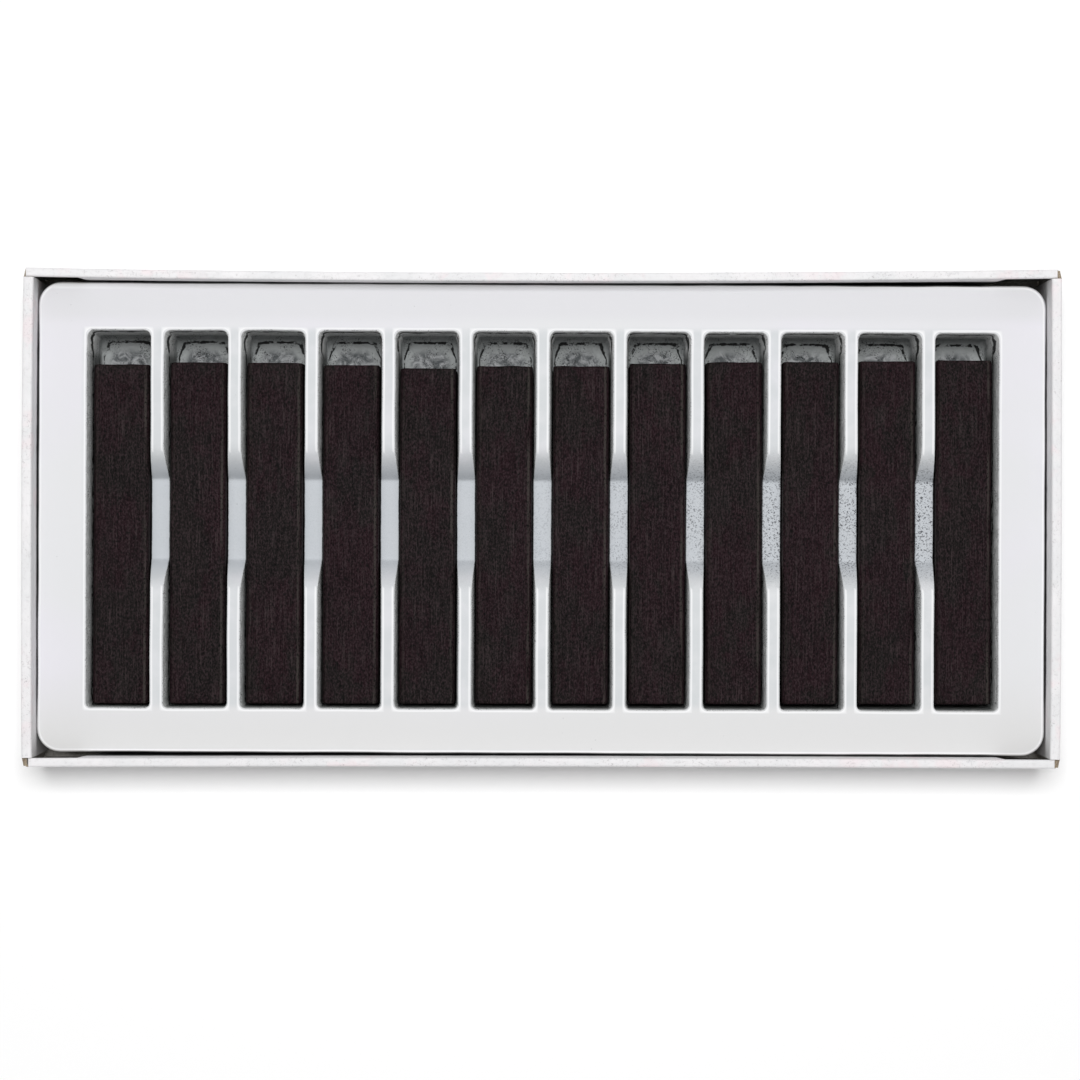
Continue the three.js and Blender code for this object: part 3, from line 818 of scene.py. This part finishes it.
def grid_line(half, pockets, pocket_half, margin, floor_stations):
    """The tray's grid stations along one axis, as rows of position, skirt level, pocket edge, edge sign
    and pocket level. Skirt and pocket levels count inwards, and -1 means outside any pocket."""
    skirt = skirt_levels()
    last_level = len(pocket_levels(0.0, POCKET_FILLET, end_inset)[0]) - 1
    outer = [(-half + inset, level, 0, 0, -1) for level, (inset, _) in enumerate(skirt)]
    outer += [(-half + inset, len(skirt), 0, 0, -1) for inset in margin]
    stations = list(outer)
    for number, centre in enumerate(pockets):
        left, right = centre - pocket_half, centre + pocket_half
        stations.append((left - RIM_BAND, len(skirt), 0, 0, -1))
        stations += [(left, len(skirt), left, 1, level) for level in range(last_level + 1)]
        stations += [(centre + p, len(skirt), 0, 0, last_level) for p in floor_stations]
        stations += [(right, len(skirt), right, -1, level) for level in range(last_level, -1, -1)]
        stations.append((right + RIM_BAND, len(skirt), 0, 0, -1))
        if number + 1 < len(pockets):
            stations.append(((centre + pockets[number + 1]) / 2, len(skirt), 0, 0, -1))
    stations += [(-x, level, 0, 0, -1) for x, level, *_ in reversed(outer)]
    return np.array(stations)


def channel_depth(y):
    """How far the finger channel lowers the ribs at a distance from its middle."""
    slope = CHANNEL_DEPTH * (CHANNEL_FLOOR / 2 + CHANNEL_RUN - np.abs(y)) / CHANNEL_RUN
    rounded = soft_max(slope, 0 * y, 2.4)
    return -soft_max(-rounded, 0 * y - CHANNEL_DEPTH, 0.5)


def tray_lines(pocket_x):
    """The stations of the tray's columns and rows, close together where the channel bends."""
    near = np.array([-0.9, -0.4, -0.15, 0.05, 0.3, 0.8, 1.6, 2.4, 3.2, 3.9, 4.5, 5.1, 5.7, 6.3, 7.0, 8.0])
    across = np.concatenate([[2.2, 5.0], CHANNEL_FLOOR / 2 + near, np.arange(19.5, 39.5, 2.5)])
    along = np.concatenate([-across[::-1], [0], across])
    margin = [TRAY_EDGE + RIM_BAND, 1.5, 2.3, 3.1, 4.0, 5.3, 6.6, 8.0]
    columns = grid_line(TRAY_LENGTH / 2, pocket_x, POCKET_WIDTH / 2, [*margin, 9.1], [-3.0, 0, 3.0])
    rows = grid_line(TRAY_WIDTH / 2, [POCKETS_Y], POCKET_LENGTH / 2, margin, along)
    return columns, rows


def round_plan(x, y, pocket_x, in_pocket):
    """Places in plan, moved so that the corners of the tray and of its pockets are round. Downwards, a
    pocket's corners get rounder at its free end and sharper at its other end."""
    out_x, out_y = round_corner(
        TRAY_LENGTH / 2 - np.abs(x), TRAY_WIDTH / 2 - np.abs(y), lambda inset: TRAY_CORNER - inset,
    )
    centre = pocket_x[np.argmin(np.abs(x[..., None] - pocket_x), -1)]
    along = y - POCKETS_Y
    growth = np.where(along > 0, CORNER_GROWTH, -CORNER_SHRINKING)
    in_x, in_y = round_corner(
        POCKET_WIDTH / 2 - np.abs(x - centre), POCKET_LENGTH / 2 - np.abs(along),
        lambda inset: POCKET_CORNER + growth * inset,
    )
    round_x = np.where(in_pocket, centre + np.sign(x - centre) * (POCKET_WIDTH / 2 - in_x),
                       np.sign(x) * (TRAY_LENGTH / 2 - out_x))
    round_y = np.where(in_pocket, POCKETS_Y + np.sign(along) * (POCKET_LENGTH / 2 - in_y),
                       np.sign(y) * (TRAY_WIDTH / 2 - out_y))
    return round_x, round_y


def tray(materials):
    """The formed sheet: a flat top with pockets and a finger channel pressed into it, and a skirt."""
    pocket_x = (np.arange(STICK_COUNT) - (STICK_COUNT - 1) / 2) * POCKET_PITCH + POCKETS_X
    columns, rows = tray_lines(pocket_x)
    x, skirt_x, edge_x, sign_x, level_x = columns.T[:, None, :]
    y, skirt_y, edge_y, sign_y, level_y = rows.T[:, :, None]
    in_channel = np.abs(x - POCKETS_X) < pocket_x[-1] - POCKETS_X
    lowered = channel_depth(y - POCKETS_Y) * in_channel
    fillet = pocket_fillet(y - POCKETS_Y)
    insets, heights = pocket_levels(lowered, fillet, side_inset)
    end_insets, _ = pocket_levels(0 * fillet, fillet, end_inset)

    last = len(insets) - 1
    choose_x = np.broadcast_to(np.clip(level_x, 0, last).astype(int), lowered.shape)
    inset_x = np.take_along_axis(insets, choose_x[None], 0)[0]
    choose_y = np.clip(level_y, 0, last).astype(int)
    inset_y = np.take_along_axis(end_insets, choose_y[None], 0)[0]
    plan_x = np.where(sign_x != 0, edge_x + sign_x * inset_x, x)
    plan_y = np.where(sign_y != 0, edge_y + sign_y * inset_y, y) + 0 * plan_x

    level = np.minimum(level_x, level_y).astype(int)
    pocket_z = np.take_along_axis(heights, np.clip(level, 0, last)[None], 0)[0]
    pz = np.where(level < 0, TRAY_HEIGHT - lowered, pocket_z)
    skirt = skirt_levels()
    skirt_level = np.minimum(skirt_x, skirt_y).astype(int)
    skirt_height = np.array([z for _, z in skirt] + [0])
    pz = np.where(skirt_level < len(skirt), skirt_height[skirt_level], pz)

    px, py = round_plan(plan_x, plan_y, pocket_x, level >= 0)
    rise = np.clip(pz / TRAY_HEIGHT, 0, 1)
    px = px + TRAY_WAVE * rise * ripple(11, 16)(plan_x, plan_y)
    py = py + TRAY_WAVE * rise * ripple(12, 19)(plan_x, plan_y)
    pz = pz + TRAY_TOP_WAVE * rise ** 2 * ripple(13, 34)(plan_x, plan_y)
    top = np.stack([px, py, pz], -1)
    under = top + downward_normals(top) * TRAY_SHEET
    under[..., 2] = np.where(skirt_level == 0, 0.0, under[..., 2])

    marks = {
        "pocket": np.clip((level - 0.5) / 3, 0, 1),
        "channel": np.where(level < 4, lowered / CHANNEL_DEPTH, 0),
        # Where the painted highlight goes: the pockets' rims outside the channel, and the edge of the
        # tray's top
        "rim": ((level == 0) & (lowered < 0.5)) | (skirt_level == len(skirt) - 1),
        "foot": level == last - 1,
        "middle": (level == last) & (sign_x == 0) & (sign_y == 0),
        "skirt": skirt_level < len(skirt) - 2,
    }
    marks = {name: np.stack([values, 0 * values]).astype(float) for name, values in marks.items()}
    present = np.ones((len(rows) - 1, len(columns) - 1), bool)
    lift = np.array([0, TRAY_SHIFT_Y, TRAY_BASE])
    return sheet("tray_formed", skewed(top) + lift, skewed(under) + lift, present, materials, marks)


# Sticks

def stick_outline():
    """A stick's square section as points that go once round it. Each face has a faint ridge near both of
    its edges and falls away outside it."""
    eighth = np.array([
        (0.0, 6.31), (0.8, 6.31), (1.6, 6.315), (2.4, 6.32), (3.2, 6.32), (4.0, 6.325), (4.6, 6.33),
        (4.85, 6.35), (5.05, 6.345), (5.3, 6.29), (5.6, 6.22), (5.82, 6.12), (5.98, 5.98),
    ])
    quarter = np.concatenate([eighth, eighth[-2:0:-1, ::-1]])
    points = []
    for turn in range(4):
        angle = -turn * math.pi / 2
        spin = np.array([[math.cos(angle), -math.sin(angle)], [math.sin(angle), math.cos(angle)]])
        points.append(quarter @ spin.T)
    return np.concatenate(points)


def ridge_highlight_marks(outline):
    """A mark on the ridges near the section's corners, where a highlight is painted, fainter on the ridge
    that starts each face.
    """
    across, up = np.abs(outline).T
    nearer = np.minimum(across, up)
    leading = (outline.prod(1) > 0) == (up > across)
    return np.where((nearer > 5.2) & (nearer < 5.7), np.where(leading, 1.0, 0.3), 0.0)


def stick_points(number, length, outline):
    """A stick's rings of points, from the middle of one end along the stick to the middle of the other:
    a ribbed surface drawn lengthwise, with worn edges and slightly uneven broken ends."""
    point_spacing = 0.55
    around = np.arange(len(outline)) * point_spacing
    fine = ripple(100 + number, 1.0)
    broad = ripple(200 + number, 1.0)
    chips = ripple(300 + number, 1.0)

    def end_unevenness(side, section):
        return END_ROUGHNESS * (1 + ripple(400 + number * 2 + side, 6.0)(section[:, 0], section[:, 1]))

    _, worn_end = STICK_END[0]
    deepest, _ = STICK_END[-1]
    body = np.linspace(deepest * 2, length - deepest * 2, BODY_RINGS)
    rings = [(depth, inset, -1) for depth, inset in STICK_END]
    rings += [(y, 0.0, 0) for y in body]
    rings += [(length - depth, inset, 1) for depth, inset in reversed(STICK_END)]

    points = []
    for scale in reversed(CAP_RINGS):
        section = outline * scale
        points.append(np.column_stack([section[:, 0], end_unevenness(0, section), section[:, 1]]))
    for y, inset, side in rings:
        worn = inset * (1 + 0.5 * chips(around / 2.2, side * 7.0))
        worn += 0.02 * (1 + fine(around, y / 16)) + 0.03 * (1 + broad(around / 7, y / 17))
        section = outline * (1 - worn * 2 / STICK_SIDE)[:, None]
        bumps = 0 * around
        if side != 0:
            cap = 0 if side < 0 else 1
            bumps = -side * (inset / worn_end) * end_unevenness(cap, section)
        points.append(np.column_stack([section[:, 0], y + bumps, section[:, 1]]))
    for scale in CAP_RINGS:
        section = outline * scale
        points.append(np.column_stack([section[:, 0], length - end_unevenness(1, section), section[:, 1]]))
    return np.array(points)


def tube_faces(ring_count, ring_size):
    """Faces of a tube whose rings go clockwise seen from its first end: quads, then a cap at each end."""
    index = np.arange(ring_count * ring_size).reshape(ring_count, ring_size)
    after = np.roll(index, -1, 1)
    quads = np.stack([index[:-1], after[:-1], after[1:], index[1:]], -1).reshape(-1, 4)
    return [*quads, index[0, ::-1], index[-1]]


def stick(number, material):
    """One stick in the box of its CAD node."""
    node = f"stick_{number:02d}"
    low, high = (np.array(corner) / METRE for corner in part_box(node))
    length = (high - low)[1] - STICK_SIDE * abs(math.sin(SKEW))
    outline = stick_outline()
    points = stick_points(number, length, outline)
    ridges = np.zeros(points.shape[:2])
    ridges[len(CAP_RINGS):-len(CAP_RINGS)] = ridge_highlight_marks(outline)
    points[..., 1] -= length / 2
    placed = skewed(points.reshape(-1, 3)) + (low + high) / 2
    faces = tube_faces(*points.shape[:2])
    looks = np.zeros(len(faces))
    marks = {"ridge": ridges.ravel()}
    piece = new_piece(f"charcoal_{number:02d}", placed, faces, looks, [material], marks, sharp=50)
    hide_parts(node)
    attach(piece, node)


# The object

board_looks = [coated_board(), board_reverse(), board_core()]
blank = carton_blank(board_looks)
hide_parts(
    "carton_floor", "carton_front_wall", "carton_back_wall", "carton_front_left_flap",
    "carton_front_right_flap", "carton_back_left_flap", "carton_back_right_flap",
)
left_end = carton_end("carton_left_end", -1, board_looks)
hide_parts("carton_left_wall")
right_end = carton_end("carton_right_end", 1, board_looks)
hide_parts("carton_right_wall")
for piece in (blank, left_end, right_end):
    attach(piece, "carton")

plastic = tray_plastic()
formed = tray([plastic, plastic, plastic])
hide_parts("tray")
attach(formed, "tray")

pressed = charcoal()
for number in range(1, STICK_COUNT + 1):
    stick(number, pressed)


# Studio

def floor():
    corners = np.array([[-1, -1, 0], [1, -1, 0], [1, 1, 0], [-1, 1, 0]])
    piece = new_piece("studio_floor", corners * FLOOR_REACH, [(0, 1, 2, 3)], [0], [studio_floor()])


def key_light(elevation, distance, width, depth, power):
    """A large soft lamp high on the +Y side, aimed at the object. The elevation is in degrees and the
    power in watts."""
    data = bpy.data.lights.new("key", "AREA")
    data.shape = "RECTANGLE"
    data.size = width * METRE
    data.size_y = depth * METRE
    data.energy = power
    lamp = bpy.data.objects.new("key", data)
    angle = math.radians(elevation)
    towards = Vector((0, math.cos(angle), math.sin(angle)))
    lamp.location = towards * distance * METRE
    lamp.rotation_mode = "QUATERNION"
    lamp.rotation_quaternion = towards.to_track_quat("Z", "Y")
    bpy.context.scene.collection.objects.link(lamp)


def sky(strength):
    """Even white light from all round."""
    world = bpy.data.worlds.new("studio")
    world.use_nodes = True
    background = world.node_tree.nodes["Background"]
    background.inputs["Color"].default_value = (1, 1, 1, 1)
    background.inputs["Strength"].default_value = strength
    bpy.context.scene.world = world


def camera():
    data = bpy.data.cameras.new("camera")
    data.sensor_width = 36
    data.lens = CAMERA_LENS
    data.clip_start = 0.01
    holder = bpy.data.objects.new("camera", data)
    holder.location = (CAMERA_X * METRE, CAMERA_Y * METRE, CAMERA_HEIGHT * METRE)
    holder.rotation_euler = (0, 0, CAMERA_TURN)
    bpy.context.scene.collection.objects.link(holder)
    bpy.context.scene.camera = holder


floor()
key_light(elevation=79.3, distance=1500, width=640, depth=360, power=14.9)
sky(0.40)
camera()
bpy.context.scene.view_settings.view_transform = "Standard"
